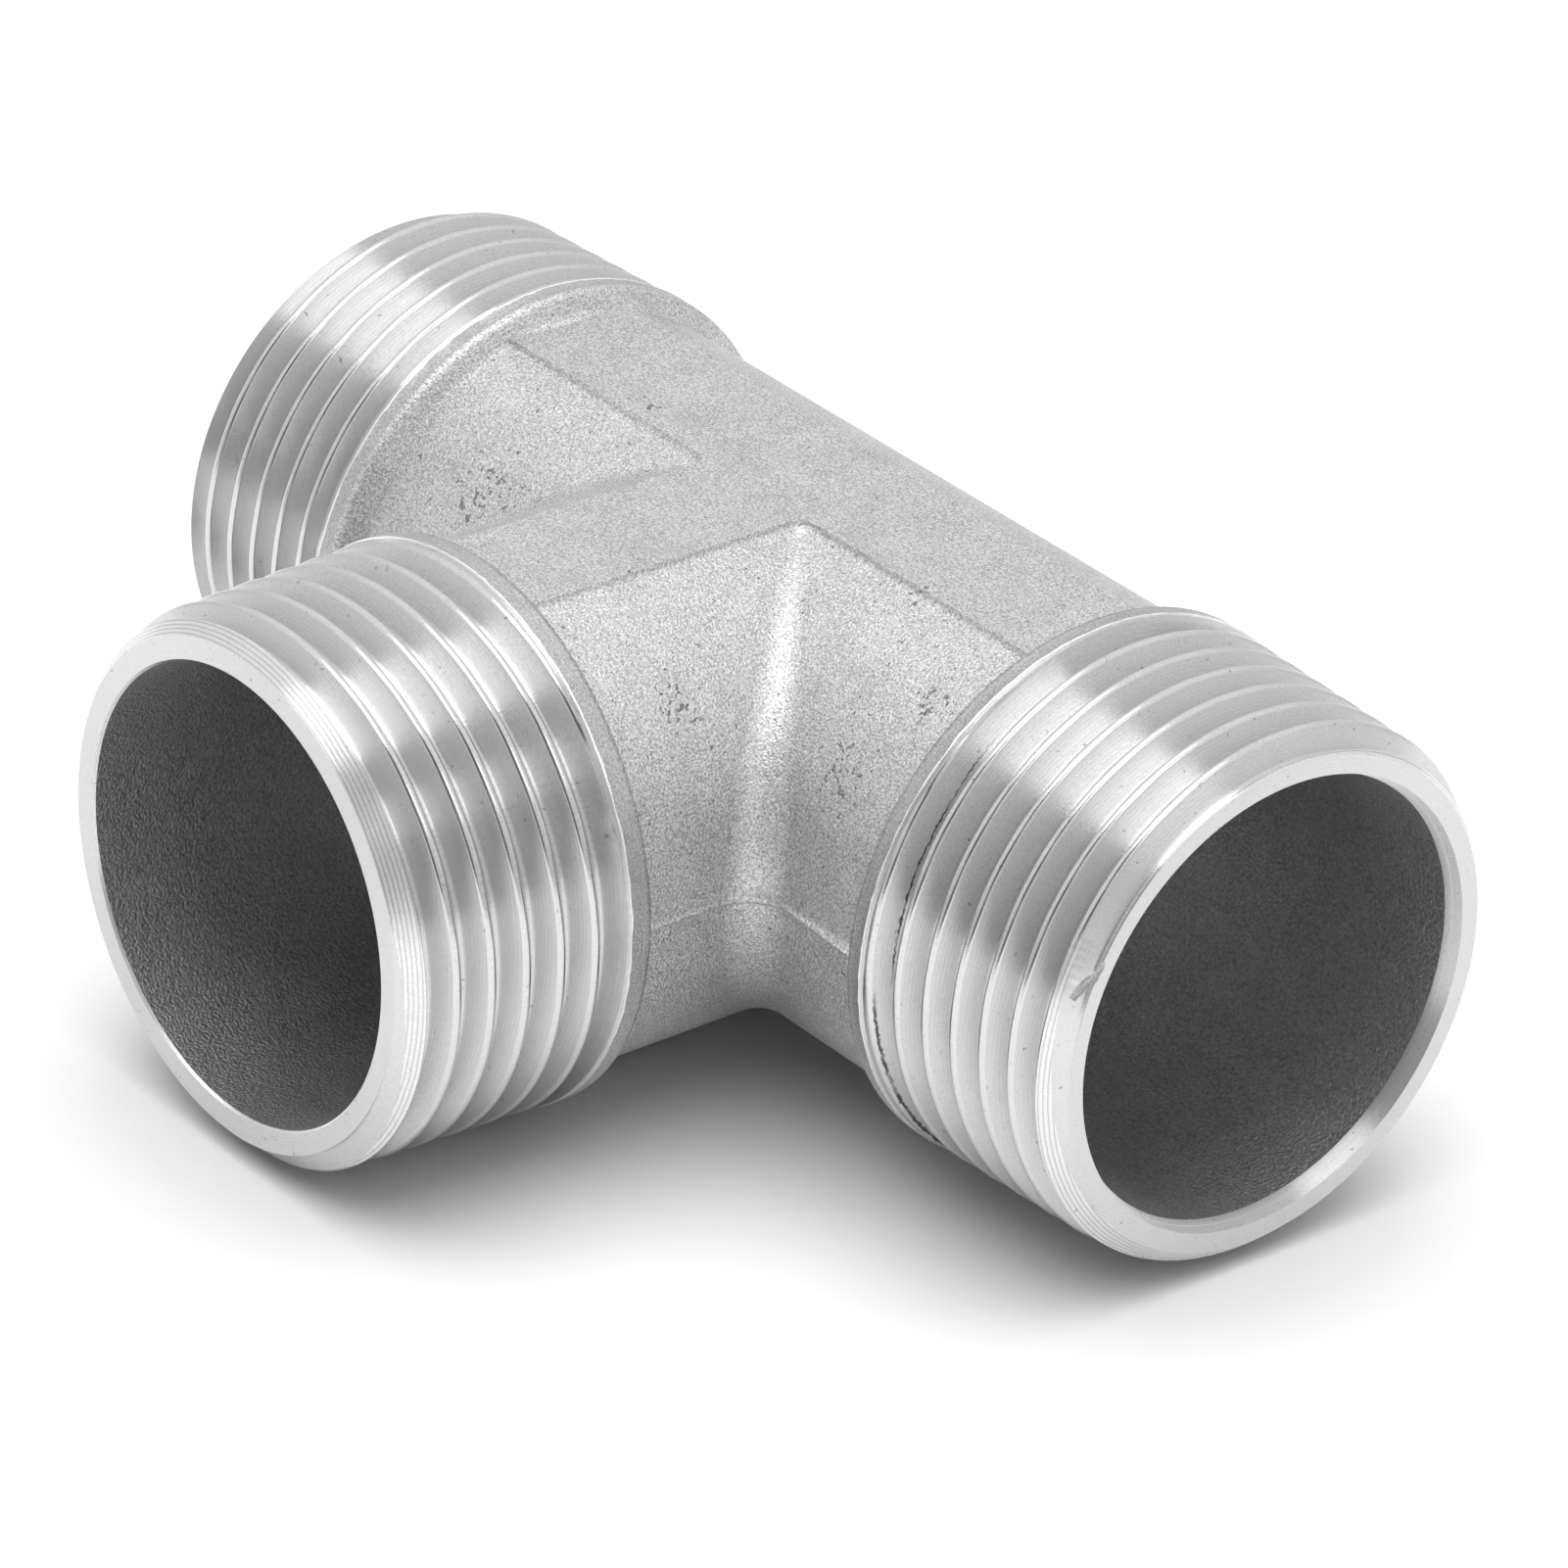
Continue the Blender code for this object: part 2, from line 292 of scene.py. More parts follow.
def fillet_arc(side, out, up, radius, blend):
    """Contact arc of a ball that rolls in the crotch, from the run to the branch."""
    offset = radius + blend
    centre = Vector((side * offset * out, -offset * out, offset * up))
    start = Vector((0.0, out, -up))
    end = Vector((-side * out, 0.0, -up))
    spread = start.angle(end, 0.0) if out > 0.0 else 0.0
    points = []
    for step in range(FILLET_STEPS + 1):
        share = step / FILLET_STEPS
        ray = start
        if spread > 1e-6:
            ray = start * math.sin((1 - share) * spread) + end * math.sin(share * spread)
            ray /= math.sin(spread)
        points.append(centre + ray * blend)
    return points


def tee_tube(name, steps, radius, blend, right, left, branch, shades):
    """A tube along X with an equal one leaving it along -Y, each arm through its own rings."""
    bm = bmesh.new()
    offset = radius + blend
    ribs = []
    for step in range(steps + 1):
        angle = -math.pi / 2 + math.pi * step / steps
        out = math.cos(angle) if 0 < step < steps else 0.0
        ribs.append((out, math.sin(angle)))
    for pair in zip(ribs, ribs[1:]):
        for side, rings in ((1, right), (-1, left)):
            front = []
            back = []
            arm = []
            arcs = []
            for out, up in pair:
                front.append([(side * offset * out, -radius * out, radius * up)]
                             + [(side * along, -ring * out, ring * up) for along, ring in rings])
                back.append([(0.0, radius * out, radius * up)]
                            + [(side * along, ring * out, ring * up) for along, ring in rings])
                arm.append([(side * radius * out, -offset * out, radius * up)]
                           + [(side * ring * out, -along, ring * up) for along, ring in branch])
                arcs.append(fillet_arc(side, out, up, radius, blend))
            add_strip(bm, *front, shades)
            add_strip(bm, *back, shades)
            add_strip(bm, *arm, shades)
            if blend > 0.0:
                add_strip(bm, *arcs)
    return solid_from(name, bm, shades[-1])


def tee_outline(half, corner, right, left, branch, flare=0.0):
    """Plan of a T with arms of one width and rounded inside corners."""
    turns = 8
    points = [(-left, half), (-left, -half)]
    for step in range(turns + 1):
        angle = math.pi / 2 * (1 - step / turns)
        points.append((-half - corner + corner * math.cos(angle), -half - corner + corner * math.sin(angle)))
    points += [(-half, -branch), (half, -branch)]
    for step in range(turns + 1):
        angle = math.pi - math.pi / 2 * step / turns
        points.append((half + corner + corner * math.cos(angle), -half - corner + corner * math.sin(angle)))
    points += [(right, -half - flare), (right, half)]
    return points


def outline_stack(name, levels):
    """A solid that passes through outlines at rising heights."""
    bm = bmesh.new()
    rows = [[(x, y, height) for x, y in outline] for height, outline in levels]
    for low, high in zip(rows, rows[1:]):
        add_strip(bm, low, high, closed=True)
    return solid_from(name, bm)


def turned(name, columns, shades, shade):
    """Joins one column of (along, radius) points for each angle round X."""
    bm = bmesh.new()
    rows = []
    for angle, column in columns:
        across = math.cos(angle)
        up = math.sin(angle)
        rows.append([(along, radius * across, radius * up) for along, radius in column])
    for first, second in zip(rows, rows[1:]):
        add_strip(bm, first, second, shades)
    return solid_from(name, bm, shade)


def bend(start, corner, finish, count):
    """Points of a smooth bend from start to finish that leans towards the corner."""
    points = []
    for k in range(count):
        share = k / (count - 1)
        points.append(start * (1 - share) ** 2 + corner * 2 * share * (1 - share) + finish * share ** 2)
    return points


def ripple(angle, seed):
    """A small ragged wander round a turn, that closes on itself."""
    total = 0.0
    for order, weight in ((3, 0.5), (5, 0.4), (11, 0.35), (17, 0.3), (29, 0.25), (47, 0.2), (63, 0.2)):
        total += weight * math.sin(order * angle + seed * (order * 1.7 + 1.0))
    return total


def groove_profile(size):
    """One groove from crest to crest, as (offset, depth) with rounded crests and root."""
    radius = size.round_radius
    depth = size.thread_depth
    arc = [math.radians(ROUND_ANGLE) * k / ROUND_POINTS for k in range(ROUND_POINTS + 1)]
    half = [(-size.pitch / 2 + radius * math.sin(a), radius * (1 - math.cos(a))) for a in arc]
    half += [(-radius * math.sin(a), depth - radius * (1 - math.cos(a))) for a in reversed(arc)]
    return half + [(-offset, d) for offset, d in reversed(half[:-1])]


def thread_column(size, arm, turn, begin):
    """The thread along one side of the cone, at a share of a turn, from where the ring ends."""
    past = arm.reach + OVERRUN * size.pitch
    profile = groove_profile(size)
    clear = begin + UNDERCUT_END
    points = [(begin + 0.07, UNDERCUT), (begin + 0.15, UNDERCUT), (clear, 0.0)]
    for number in range(math.floor((arm.collar - arm.reach) / size.pitch) - 2, 4):
        centre = arm.reach + size.pitch * (number + turn - arm.phase / 360.0 + 0.5)
        share = min(max((centre - arm.collar - RUNOUT_START) / RUNOUT_LENGTH, 0.0), 1.0)
        lift = size.thread_depth * (1 - share * share * (3 - 2 * share))
        for offset, depth in profile[:-1]:
            along = centre + offset
            if along < clear + 0.04:
                points.append((clear, 0.0))
            elif along > past:
                points.append((past, 0.0))
            else:
                points.append((along, max(depth - lift, 0.0)))
    points.append((past, 0.0))
    cone = arm.collar
    return [(along, size.turned_radius - (along - cone - CONE_START) / TAPER_LENGTH - depth)
            for along, depth in points]


def threaded_spigot(size, arm):
    """Cast collar with a ragged turned edge, then the taper thread running past the end."""
    tube = size.tube_radius
    rim = size.collar_radius
    foot = Vector((arm.collar - COLLAR_SLOPE, tube))
    corner = Vector((arm.collar, rim))
    lean = (corner - foot).normalized()
    back = [Vector((arm.collar - 1.2, tube - 1.0))]
    back += bend(foot + Vector((-0.50, -0.24)), foot + Vector((-0.02, -0.03)), foot + lean * 0.34, 5)
    back += bend(corner - lean * arm.edge, corner, corner + Vector((arm.edge, 0.0)), 6)
    chips = random.Random(arm.seed)
    steps = 2 * size.round_steps
    ragged = [chips.uniform(-1.0, 1.0) for _ in range(steps)]
    columns = []
    for step in range(steps + 1):
        turn = (step + 0.5) / steps
        angle = 2 * math.pi * turn
        begin = arm.collar + arm.ring + EDGE_WANDER * ripple(angle, arm.seed)
        tear = EDGE_TEAR * ragged[step % steps]
        lip = [(begin - 0.07 + tear, rim), (begin - 0.02 + tear, rim + 0.025), (begin + 0.05, rim + 0.01)]
        thread = thread_column(size, arm, turn, begin)
        columns.append((angle, back + lip + thread))
    # A tight rim on the right and branch collars wears the dark bore metal, as painted shade along the rim
    painted_rim_shade_slot = CAST if arm.edge > 0.3 else BORE_AND_PAINTED_RIM_SHADE
    flank = THREAD + arm.slots
    crest = CREST + arm.slots
    groove = [crest] * 3 + [flank] * 8 + [crest] * 3
    # The three faces of the torn lip wear the near-white burr metal, a painted highlight along each ring's
    # edge
    shades = [CAST] * 7 + [painted_rim_shade_slot] * 4 + [RING] + [BURR_HIGHLIGHT] * 3 + [flank] * 3
    shades += groove * ((len(thread) - 4) // len(groove))
    return turned(arm.label + "_spigot", columns, shades, FACE + arm.slots)


def turning_envelope(size, arm):
    """What the lathe leaves of the end: a flat face inside a 45 degree chamfer."""
    clear = size.collar_radius + 2.0
    face = size.end_face_radius
    profile = [(arm.collar - 5.0, clear), (arm.reach - (clear - face), clear),
               (arm.reach - EDGE_BREAK, face + EDGE_BREAK), (arm.reach, face - EDGE_BREAK / 2)]
    shades = [THREAD + arm.slots, CHAMFER + arm.slots, CHAMFER + arm.slots]
    steps = 2 * size.round_steps
    columns = [(2 * math.pi * step / steps, profile) for step in range(steps + 1)]
    return turned(arm.label + "_end", columns, shades, FACE + arm.slots)


def gouge():
    """The rough trench that a knock tore across the right chamfer."""
    start = Vector(GOUGE_START)
    finish = Vector(GOUGE_END)
    chips = random.Random(7)
    run = (finish - start).normalized()
    side = run.cross(Vector((0.8, -0.55, 0.25))).normalized()
    over = side.cross(run)
    sides = 10
    stations = 8
    rows = []
    for k in range(stations + 1):
        share = k / stations
        middle = start.lerp(finish, share) + over * 0.12
        reach = GOUGE_RADIUS * (0.75 + 0.35 * math.sin(math.pi * min(share * 0.8 + 0.15, 1.0)))
        row = []
        for j in range(sides):
            angle = 2 * math.pi * j / sides
            wide = reach * (1.0 + 0.16 * chips.uniform(-1.0, 1.0))
            row.append(middle + side * wide * math.cos(angle) + over * wide * math.sin(angle))
        rows.append(row)
    bm = bmesh.new()
    for first, second in zip(rows, rows[1:]):
        add_strip(bm, first, second, [RING] * sides, closed=True)
    return solid_from("end_gouge", bm, RING)


def combine(target, tool, operation, turn=0.0):
    """Joins or cuts with an exact Boolean, the tool turned about Z to its arm."""
    tool.rotation_euler = (0.0, 0.0, turn)
    bpy.context.view_layer.update()
    step = target.modifiers.new(tool.name, "BOOLEAN")
    step.operation = operation
    step.solver = "EXACT"
    step.material_mode = "INDEX"
    step.object = tool
    graph = bpy.context.evaluated_depsgraph_get()
    mesh = bpy.data.meshes.new_from_object(target.evaluated_get(graph), depsgraph=graph)
    target.modifiers.clear()
    target.data = mesh
    bpy.data.objects.remove(tool, do_unlink=True)


def axes_crossing(size):
    """Where the three axes meet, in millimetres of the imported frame."""
    low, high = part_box("tee_body")
    return Vector((high[0] / MM - size.right_reach, low[1] / MM + size.branch_reach,
                   (low[2] + high[2]) / 2 / MM))


def add_pads(body, size, seats):
    """Raises the wrench pads above and below, and levels their faces."""
    ends = [seat - 0.1 for seat in seats]
    for side, label in ((1, "top_pad"), (-1, "bottom_pad")):
        levels = []
        for rise, spread in PAD_EDGE:
            corner = max(size.pad_corner - spread, 0.15)
            outline = tee_outline(size.pad_half_width + spread, corner, *ends)
            levels.append((side * (size.pad_height + rise), outline))
        combine(body, outline_stack(label, levels), "UNION")
    sheet = [(-60.0, -60.0), (60.0, -60.0), (60.0, 60.0), (-60.0, 60.0)]
    slab = outline_stack("pad_slab", [(-size.pad_height, sheet), (size.pad_height, sheet)])
    combine(body, slab, "INTERSECT")


def add_seam(body, size, seats):
    """Runs the ridge of the mould's parting line round the tubes."""
    ends = [seat - 0.2 for seat in seats]
    levels = []
    for height, proud, flare in SEAM_LEVELS:
        outline = tee_outline(size.tube_radius + proud, size.crotch_radius - proud, *ends, flare=flare)
        levels.append((height, outline))
    combine(body, outline_stack("seam_ridge", levels), "UNION")


def open_bores(body, size):
    """Cuts the three bores, which meet in the middle, with their turned mouths."""
    bore = size.bore_radius
    rings = []
    for reach, mouth in ((size.right_reach, RUN_MOUTH), (size.left_reach, RUN_MOUTH),
                         (size.branch_reach, BRANCH_MOUTH)):
        rings.append([(reach - depth, bore + widening) for depth, widening in mouth])
    tool = tee_tube("bore", size.round_steps, bore, 0.0, *rings, [BORE_AND_PAINTED_RIM_SHADE] + [MOUTH] * 4)
    combine(body, tool, "DIFFERENCE")


def casting(size):
    """The whole tee in one skin, in millimetres round the crossing of its axes."""
    arms = (
        Arm("right", size.right_reach, size.right_collar, size.right_ring, size.right_phase,
            turn=0.0, edge=0.26, seed=1, slots=0),
        Arm("left", size.left_reach, size.left_collar, size.left_ring, size.left_phase,
            turn=math.pi, edge=0.40, seed=4, slots=0),
        Arm("branch", size.branch_reach, size.branch_collar, size.branch_ring, size.branch_phase,
            turn=-math.pi / 2, edge=0.26, seed=2, slots=BRANCH),
    )
    tube = size.tube_radius
    seats = [arm.collar + SEAT_DEPTH for arm in arms]
    body = tee_tube("tee_casting", size.round_steps, tube, size.crotch_radius,
                    *[[(seat, tube)] for seat in seats], [CAST])
    add_pads(body, size, seats)
    add_seam(body, size, seats)
    for arm in arms:
        spigot = threaded_spigot(size, arm)
        combine(spigot, turning_envelope(size, arm), "INTERSECT")
        combine(body, spigot, "UNION", arm.turn)
    open_bores(body, size)
    combine(body, gouge(), "DIFFERENCE")
    return body


# Metal finishes


def feed(tree, socket, source):
    """Links another socket to an input, or sets it to a plain value."""
    if isinstance(source, bpy.types.NodeSocket):
        tree.links.new(source, socket)
    elif source is not None:
        socket.default_value = source


def value_node(tree, operation, place, first, second=None):
    """A Math node whose inputs are sockets or plain numbers."""
    node = tree.nodes.new("ShaderNodeMath")
    node.operation = operation
    node.location = place
    feed(tree, node.inputs[0], first)
    feed(tree, node.inputs[1], second)
    return node.outputs[0]


def vector_node(tree, operation, place, first, second):
    """A Vector Math node; the answer is its value for a dot product or distance."""
    node = tree.nodes.new("ShaderNodeVectorMath")
    node.operation = operation
    node.location = place
    feed(tree, node.inputs[0], first)
    feed(tree, node.inputs[1], second)
    return node.outputs["Value" if operation in ("DOT_PRODUCT", "DISTANCE") else "Vector"]


def split_node(tree, place, vector):
    """The X, Y and Z of a vector."""
    node = tree.nodes.new("ShaderNodeSeparateXYZ")
    node.location = place
    tree.links.new(vector, node.inputs["Vector"])
    return node.outputs


def remap(tree, place, source, low, high, to_low=0.0, to_high=1.0, smooth=False):
    """A Map Range node from one span to another."""
    node = tree.nodes.new("ShaderNodeMapRange")
    node.location = place
    node.interpolation_type = "SMOOTHSTEP" if smooth else "LINEAR"
    tree.links.new(source, node.inputs["Value"])
    node.inputs["From Min"].default_value = low
    node.inputs["From Max"].default_value = high
    node.inputs["To Min"].default_value = to_low
    node.inputs["To Max"].default_value = to_high
    return node.outputs["Result"]


def noise_node(tree, place, vector, scale, detail=2.0, roughness=0.5):
    """A Noise texture; its scale is a number or a socket."""
    node = tree.nodes.new("ShaderNodeTexNoise")
    node.location = place
    tree.links.new(vector, node.inputs["Vector"])
    feed(tree, node.inputs["Scale"], scale)
    node.inputs["Detail"].default_value = detail
    node.inputs["Roughness"].default_value = roughness
    return node.outputs["Fac"]


def group_node(tree, place, group, vector):
    """Places a node group and gives it the surface coordinates."""
    node = tree.nodes.new("ShaderNodeGroup")
    node.node_tree = group
    node.location = place
    tree.links.new(vector, node.inputs["Vector"])
    return node


def new_group(name, inputs, outputs):
    """An empty shader node group with named sockets; an input is (name, kind, default)."""
    tree = bpy.data.node_groups.new(name, "ShaderNodeTree")
    for label, kind, default in inputs:
        socket = tree.interface.new_socket(label, in_out="INPUT", socket_type=kind)
        if default is not None:
            socket.default_value = default
    for label in outputs:
        tree.interface.new_socket(label, in_out="OUTPUT", socket_type="NodeSocketFloat")
    entry = tree.nodes.new("NodeGroupInput")
    entry.location = (-1100, 0)
    leave = tree.nodes.new("NodeGroupOutput")
    leave.location = (700, 0)
    return tree, entry, leave


def grain_group():
    """Shot-blasted skin: fine dents for the bump, bright and dark specks, and a broad mottling."""
    tree, entry, leave = new_group(
        "blasted_grain",
        [("Vector", "NodeSocketVector", None), ("Grain Size", "NodeSocketFloat", 0.0002)],
        ["Height", "Specks", "Mottle"])
    scale = value_node(tree, "DIVIDE", (-850, -150), 1.0, entry.outputs["Grain Size"])
    coarse = value_node(tree, "MULTIPLY", (-650, -250), scale, 0.4)
    vector = entry.outputs["Vector"]
    fine = noise_node(tree, (-450, 250), vector, scale, 1.0)
    lumps = noise_node(tree, (-450, 0), vector, coarse, 2.0)
    weight = value_node(tree, "MULTIPLY", (-200, 0), lumps, 0.5)
    height = value_node(tree, "ADD", (0, 150), fine, weight)
    shifted = vector_node(tree, "ADD", (-650, 450), vector, (0.31, 0.17, 0.23))
    specks = noise_node(tree, (-450, 500), shifted, scale, 0.0)
    broad = noise_node(tree, (-450, -300), vector, MOTTLE_SCALE, 4.0, 0.6)
    tree.links.new(height, leave.inputs["Height"])
    tree.links.new(specks, leave.inputs["Specks"])
    tree.links.new(broad, leave.inputs["Mottle"])
    return tree


def pitting_group(crossing):
    """Short dark pits, gathered in the clusters of PIT_CLUSTERS."""
    tree, entry, leave = new_group("skin_pits", [("Vector", "NodeSocketVector", None)], ["Pits"])
    vector = entry.outputs["Vector"]
    near = None
    for number, (centre, reach) in enumerate(PIT_CLUSTERS):
        place = (-800, 300 - 150 * number)
        away = vector_node(tree, "DISTANCE", place, vector, (crossing + Vector(centre)) * MM)
        close = remap(tree, (-600, place[1]), away, 0.15 * reach * MM, reach * MM, 1.0, 0.0, True)
        near = close if near is None else value_node(tree, "MAXIMUM", (-400, place[1]), near, close)
    warp = noise_node(tree, (-400, 500), vector, PIT_WARP_SCALE, 1.0)
    dots = noise_node(tree, (-400, 700), vector, PIT_SCALE, 2.0, 0.6)
    blend = value_node(tree, "MULTIPLY", (-200, 500), warp, 0.35)
    field = value_node(tree, "ADD", (0, 600), dots, blend)
    lowered = value_node(tree, "MULTIPLY", (-200, 200), near, 0.14)
    total = value_node(tree, "ADD", (150, 400), field, lowered)
    tree.links.new(remap(tree, (350, 300), total, 0.905, 0.935), leave.inputs["Pits"])
    return tree


def turning_group():
    """Lathe marks: rings across the axis, hair-fine chatter along it, and small nicks."""
    tree, entry, leave = new_group(
        "turning_marks",
        [("Vector", "NodeSocketVector", None), ("Stretched", "NodeSocketVector", None),
         ("Along", "NodeSocketFloat", 0.0), ("Ring Pitch", "NodeSocketFloat", 0.00013)],
        ["Rings", "Chatter", "Nicks"])
    turns = value_node(tree, "DIVIDE", (-850, 200), entry.outputs["Along"], entry.outputs["Ring Pitch"])
    wander = noise_node(tree, (-850, 450), entry.outputs["Vector"], RING_WANDER_SCALE, 2.0)
    soft = value_node(tree, "MULTIPLY", (-600, 450), wander, 0.25)
    total = value_node(tree, "ADD", (-400, 300), turns, soft)
    phase = value_node(tree, "MULTIPLY", (-200, 300), total, 2.0 * math.pi)
    rings = value_node(tree, "SINE", (0, 300), phase)
    chatter = noise_node(tree, (-400, 0), entry.outputs["Stretched"], CHATTER_SCALE, 2.0, 0.6)
    dots = noise_node(tree, (-400, -250), entry.outputs["Vector"], NICK_SCALE, 2.0, 0.5)
    nicks = remap(tree, (-150, -250), dots, 0.70, 0.76)
    tree.links.new(rings, leave.inputs["Rings"])
    tree.links.new(chatter, leave.inputs["Chatter"])
    tree.links.new(nicks, leave.inputs["Nicks"])
    return tree


def tearing_group():
    """Ragged tears along TEARS, painted dark as the shadow in each crack; Spoke points from the axis to the
    surface.
    """
    tree, entry, leave = new_group(
        "torn_crests",
        [("Vector", "NodeSocketVector", None), ("Spoke", "NodeSocketVector", None),
         ("Along", "NodeSocketFloat", 0.0)],
        ["Tears"])
    vector = entry.outputs["Vector"]
    spoke = split_node(tree, (-900, 300), entry.outputs["Spoke"])
    front = value_node(tree, "MULTIPLY", (-700, 300), spoke["Y"], -1.0)
    angle = value_node(tree, "ARCTAN2", (-500, 300), front, spoke["Z"])
    noise = noise_node(tree, (-700, 0), vector, TEAR_SCALE, 3.0, 0.7)
    shift = remap(tree, (-500, 0), noise, 0.2, 0.8, -TEAR_WANDER * MM, TEAR_WANDER * MM)
    along = value_node(tree, "ADD", (-300, 0), entry.outputs["Along"], shift)
    patches = noise_node(tree, (-700, -250), vector, TEAR_GAP_SCALE, 2.0)
    gaps = remap(tree, (-500, -250), patches, 0.36, 0.46, 0.45, 1.0)
    worst = None
    for number, (start, finish, near, far, width) in enumerate(TEARS):
        level = -500 - 200 * number
        first = math.radians(start)
        last = math.radians(finish)
        middle = remap(tree, (-300, level), angle, first, last, near * MM, far * MM)
        offset = value_node(tree, "SUBTRACT", (-150, level), along, middle)
        away = value_node(tree, "ABSOLUTE", (0, level), offset)
        band = remap(tree, (150, level), away, 0.6 * width * MM, 1.3 * width * MM, 1.0, 0.0)
        after = remap(tree, (-300, level - 60), angle,
                      math.radians(start - TEAR_FADE), math.radians(start + TEAR_FADE))
        before = remap(tree, (-300, level - 120), angle,
                       math.radians(finish - TEAR_FADE), math.radians(finish + TEAR_FADE), 1.0, 0.0)
        window = value_node(tree, "MULTIPLY", (0, level - 60), after, before)
        part = value_node(tree, "MULTIPLY", (300, level), band, window)
        worst = part if worst is None else value_node(tree, "MAXIMUM", (450, level), worst, part)
    tree.links.new(value_node(tree, "MULTIPLY", (550, 0), worst, gaps), leave.inputs["Tears"])
    return tree


def plain_metal(name, colour, roughness):
    """A metallic Principled material and its object coordinates."""
    material = bpy.data.materials.new(name)
    material.use_nodes = True
    tree = material.node_tree
    shader = tree.nodes["Principled BSDF"]
    shader.inputs["Base Color"].default_value = (*colour, 1.0)
    shader.inputs["Metallic"].default_value = 1.0
    shader.inputs["Roughness"].default_value = roughness
    place = tree.nodes.new("ShaderNodeTexCoord")
    place.location = (-1500, 0)
    return tree, shader, place.outputs["Object"]


def tinted(tree, place, colour, *factors):
    """Multiplies a colour by each factor socket in turn."""
    result = (*colour, 1.0)
    for number, factor in enumerate(factors):
        mix = tree.nodes.new("ShaderNodeMix")
        mix.data_type = "RGBA"
        mix.blend_type = "MULTIPLY"
        mix.location = (place[0] + 180 * number, place[1])
        mix.inputs["Factor"].default_value = 1.0
        feed(tree, mix.inputs[MIX_FIRST], result)
        tree.links.new(factor, mix.inputs[MIX_SECOND])
        result = mix.outputs[MIX_RESULT]
    return result


def bumped(tree, place, height, distance, shader, under=None):
    """A Bump node on the shader, or over another bump."""
    bump = tree.nodes.new("ShaderNodeBump")
    bump.location = place
    bump.inputs["Strength"].default_value = 1.0
    bump.inputs["Distance"].default_value = distance
    tree.links.new(height, bump.inputs["Height"])
    feed(tree, bump.inputs["Normal"], under)
    tree.links.new(bump.outputs["Normal"], shader.inputs["Normal"])
    return bump.outputs["Normal"]


def cast_metal(name, colour, roughness, grain, grain_size, depth, specks, pits=None, parting=0.0):
    """Cast skin with its grain in the normal, and specks and mottling in the colour.

    With pits, the grain is also coarser under the parting line.
    """
    tree, shader, vector = plain_metal(name, colour, roughness)
    skin = group_node(tree, (-1200, 0), grain, vector)
    skin.inputs["Grain Size"].default_value = grain_size
    factors = [
        remap(tree, (-900, 300), skin.outputs["Specks"], 0.25, 0.75, 1.0 - specks, 1.0 + specks),
        remap(tree, (-900, 50), skin.outputs["Mottle"], 0.3, 0.7, 0.93, 1.05),
    ]
    height = skin.outputs["Height"]
    if pits is not None:
        holes = group_node(tree, (-1200, -300), pits, vector).outputs["Pits"]
        factors.append(remap(tree, (-900, -350), holes, 0.0, 1.0, 1.0, PIT_SHADE))
        rise = split_node(tree, (-1200, -600), vector)["Z"]
        coarser = remap(tree, (-900, -600), rise, parting - MM, parting, COARSER_UNDERNEATH, 1.0)
        height = value_node(tree, "MULTIPLY", (-700, -500), height, coarser)
        height = value_node(tree, "SUBTRACT", (-500, -350), height, holes)
    tree.links.new(tinted(tree, (-600, 200), colour, *factors), shader.inputs["Base Color"])
    bumped(tree, (-300, -300), height, depth, shader)


def turned_metal(name, groups, colour, roughness, stretch, axis, centre, ring_pitch, ring_depth,
                 ring_line_painted_shade, radial=False):
    """Turned metal, whose highlights stretch across the lathe marks; radial marks ring a flat end face."""
    tree, shader, vector = plain_metal(name, colour, roughness)
    shader.inputs["Anisotropic"].default_value = stretch
    shader.inputs["Anisotropic Rotation"].default_value = 0.25
    from_axis = vector_node(tree, "SUBTRACT", (-1250, -500), vector, centre)
    around = vector_node(tree, "CROSS_PRODUCT", (-1050, -500), axis, from_axis)
    tree.links.new(around, shader.inputs["Tangent"])
    squeeze = [0.04 if part else 1.0 for part in axis]
    stretched = vector_node(tree, "MULTIPLY", (-1250, 100), vector, squeeze)
    marks = group_node(tree, (-1000, 0), groups[0], vector)
    marks.inputs["Ring Pitch"].default_value = ring_pitch
    tree.links.new(stretched, marks.inputs["Stretched"])
    if radial:
        along = vector_node(tree, "DISTANCE", (-1250, 250), vector, centre)
    else:
        along = vector_node(tree, "DOT_PRODUCT", (-1250, -150), vector, axis)
    tree.links.new(along, marks.inputs["Along"])
    factors = [
        remap(tree, (-700, 300), marks.outputs["Chatter"], 0.3, 0.7, 0.91, 1.06),
        remap(tree, (-700, 50), marks.outputs["Nicks"], 0.0, 1.0, 1.0, NICK_SHADE),
        # The lines between the lathe rings get painted shade
        remap(tree, (-700, 550), marks.outputs["Rings"], 0.2, 0.9, 1.0, ring_line_painted_shade),
    ]
    if len(groups) > 1:
        tears = group_node(tree, (-1000, -800), groups[1], vector)
        tree.links.new(from_axis, tears.inputs["Spoke"])
        reached = vector_node(tree, "DOT_PRODUCT", (-1250, -800), from_axis, axis)
        tree.links.new(reached, tears.inputs["Along"])
        # A tear darkens the metal: painted shadow in the torn crest
        factors.append(remap(tree, (-700, -800), tears.outputs["Tears"], 0.0, 1.0, 1.0, TEAR_PAINTED_SHADOW))
    tree.links.new(tinted(tree, (-450, 200), colour, *factors), shader.inputs["Base Color"])
    rings = bumped(tree, (-450, -250), marks.outputs["Rings"], ring_depth, shader)
    bumped(tree, (-250, -400), marks.outputs["Chatter"], CHATTER_DEPTH, shader, rings)


